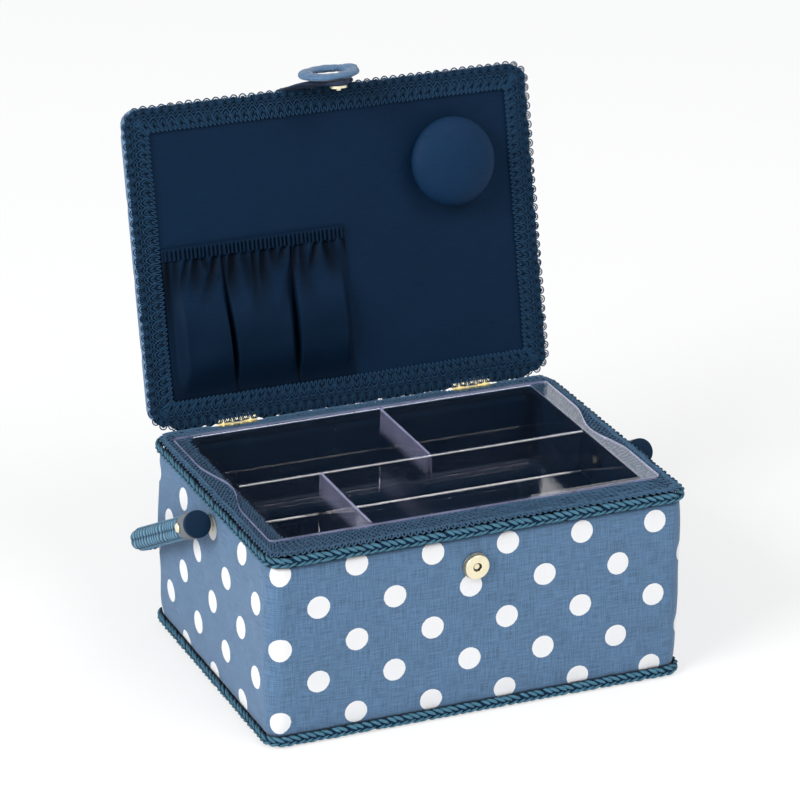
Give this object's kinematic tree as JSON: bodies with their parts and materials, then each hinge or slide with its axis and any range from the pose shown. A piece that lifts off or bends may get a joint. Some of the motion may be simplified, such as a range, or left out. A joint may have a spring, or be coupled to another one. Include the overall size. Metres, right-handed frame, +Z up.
{
  "type": "sewing box",
  "caption": "Padded fabric sewing box, open, with lift-out clear divided tray, gathered pocket and pin cushion in the lid, snap tab with ring pull, and bail handle.",
  "frame": {"origin": "middle of the underside of the case, on the surface that it stands on", "axes": "+X to the right seen from the front, +Y to the rear where the lid is hinged, +Z up"},
  "size_m": [0.2954, 0.2456, 0.3177],
  "materials": {
    "board_card": "pressed board",
    "wadding_white": "polyester wadding",
    "denim_dots": "denim blue slub cloth with white polka dots",
    "navy_cloth": "navy woven lining cloth",
    "navy_braid": "navy gimp braid",
    "teal_cord": "plaited cord",
    "brass": "polished",
    "steel": "plain",
    "dark_plastic": "glossy navy",
    "clear_plastic": "clear moulded"
  },
  "bodies": {
    "box": {"base_board": "board_card", "base_cloth": "navy_cloth", "bottom_cord": "teal_cord", "box_cover": "denim_dots", "box_leaf_left": "brass", "box_leaf_right": "brass", "box_lining": "navy_cloth", "box_screw_1": "brass", "box_screw_2": "brass", "box_screw_3": "brass", "box_screw_4": "brass", "floor_pad": "navy_cloth", "front_board": "board_card", "handle_rivet_left": "brass", "handle_rivet_right": "brass", "handle_spacer_left": "brass", "handle_spacer_right": "brass", "handle_washer_left": "brass", "handle_washer_right": "brass", "hinge_pin_left": "brass", "hinge_pin_right": "brass", "left_board": "board_card", "rear_board": "board_card", "right_board": "board_card", "rim_braid": "navy_braid", "rim_frame": "board_card", "snap_backing": "steel", "snap_magnet": "steel", "snap_post": "brass", "snap_shell": "brass", "snap_washer": "steel", "top_cord": "teal_cord", "wall_wadding": "wadding_white"},
    "tray": {"tray": "clear_plastic"},
    "lid": {"lid_board": "board_card", "lid_braid": "navy_braid", "lid_cover": "denim_dots", "lid_leaf_left": "brass", "lid_leaf_right": "brass", "lid_lining": "navy_cloth", "lid_screw_1": "brass", "lid_screw_2": "brass", "lid_screw_3": "brass", "lid_screw_4": "brass", "lid_wadding": "wadding_white", "pin_cushion": "navy_cloth", "cushion_base": "board_card", "pocket": "navy_cloth", "tab_anchor": "navy_cloth"},
    "tab": {"closure_tab": "navy_cloth", "snap_stud": "brass"},
    "ring": {"tab_ring": "denim_dots"},
    "handle": {"handle_cap_left": "dark_plastic", "handle_cap_right": "dark_plastic", "handle_core": "wadding_white", "handle_sleeve": "teal_cord"}
  },
  "joints": [
    {"name": "lid_hinge", "type": "hinge", "parent": "box", "child": "lid", "pos_m": [0, 0.093, 0.1188], "axis": [-1, 0, 0], "range_deg": [-103.4, 0]},
    {"name": "tray_lift", "type": "slide", "parent": "box", "child": "tray", "axis": [0, 0, 1], "range_m": [0, 0.12]},
    {"name": "handle_swing", "type": "hinge", "parent": "box", "child": "handle", "pos_m": [0, 0, 0.1], "axis": [1, 0, 0], "range_deg": [0, 34]},
    {"name": "closure_flex", "type": "hinge", "parent": "lid", "child": "tab", "pos_m": [-0.004, 0.13881, 0.30248], "axis": [-1, 0, 0], "range_deg": [0, 60]},
    {"name": "ring_swing", "type": "hinge", "parent": "tab", "child": "ring", "pos_m": [-0.004, 0.10713, 0.31405], "axis": [1, 0, 0], "range_deg": [0, 90]}
  ]
}
